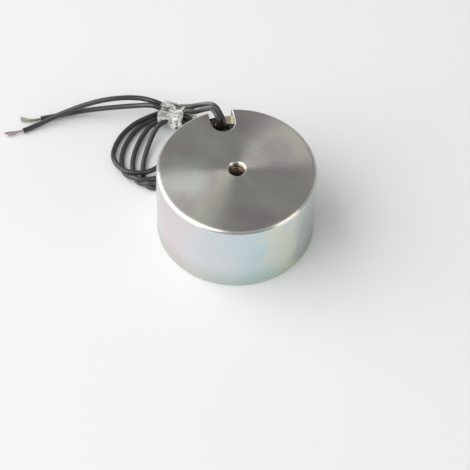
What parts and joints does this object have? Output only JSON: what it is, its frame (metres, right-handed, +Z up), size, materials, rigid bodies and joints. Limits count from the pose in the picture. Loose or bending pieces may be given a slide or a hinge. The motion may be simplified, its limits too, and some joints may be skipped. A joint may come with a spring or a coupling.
{
  "type": "holding electromagnet",
  "caption": "Round pot-type holding electromagnet with a tapped mounting hole in its back, a flat pole face and two loose leads tied in a small bundle.",
  "frame": {"origin": "centre of the round pole face, on the surface the magnet stands on", "axes": "+Z up along the pot's axis, out of its back; +Y towards the notch that lets the leads out"},
  "size_m": [0.0915, 0.082, 0.0284],
  "materials": {
    "zinc_plated_steel": "turned and zinc plated, satin",
    "black_resin": "cast, slightly sunk",
    "black_nylon": "moulded",
    "copper_winding": "enamelled wire, wound in layers",
    "amber_tape": "smooth film",
    "enamelled_wire": "enamelled",
    "solder": "smooth",
    "shrink_sleeve": "satin",
    "black_lead": "satin flexible plastic",
    "tinned_copper": "fine tinned strands, dulled",
    "clear_film": "clear crumpled film"
  },
  "bodies": {
    "root": {"bare_strands_a": "tinned_copper", "bare_strands_b": "tinned_copper", "bobbin": "black_nylon", "coil_winding": "copper_winding", "joint_sleeve_a": "shrink_sleeve", "joint_sleeve_b": "shrink_sleeve", "lead_a_exit": "black_lead", "lead_a_tail": "black_lead", "lead_b_exit": "black_lead", "lead_b_tail": "black_lead", "lead_coil": "black_lead", "pot_core": "zinc_plated_steel", "potting_resin": "black_resin", "solder_joint_a": "solder", "solder_joint_b": "solder", "tie_film": "clear_film", "winding_tape": "amber_tape", "winding_wire_a": "enamelled_wire", "winding_wire_b": "enamelled_wire"}
  },
  "joints": []
}
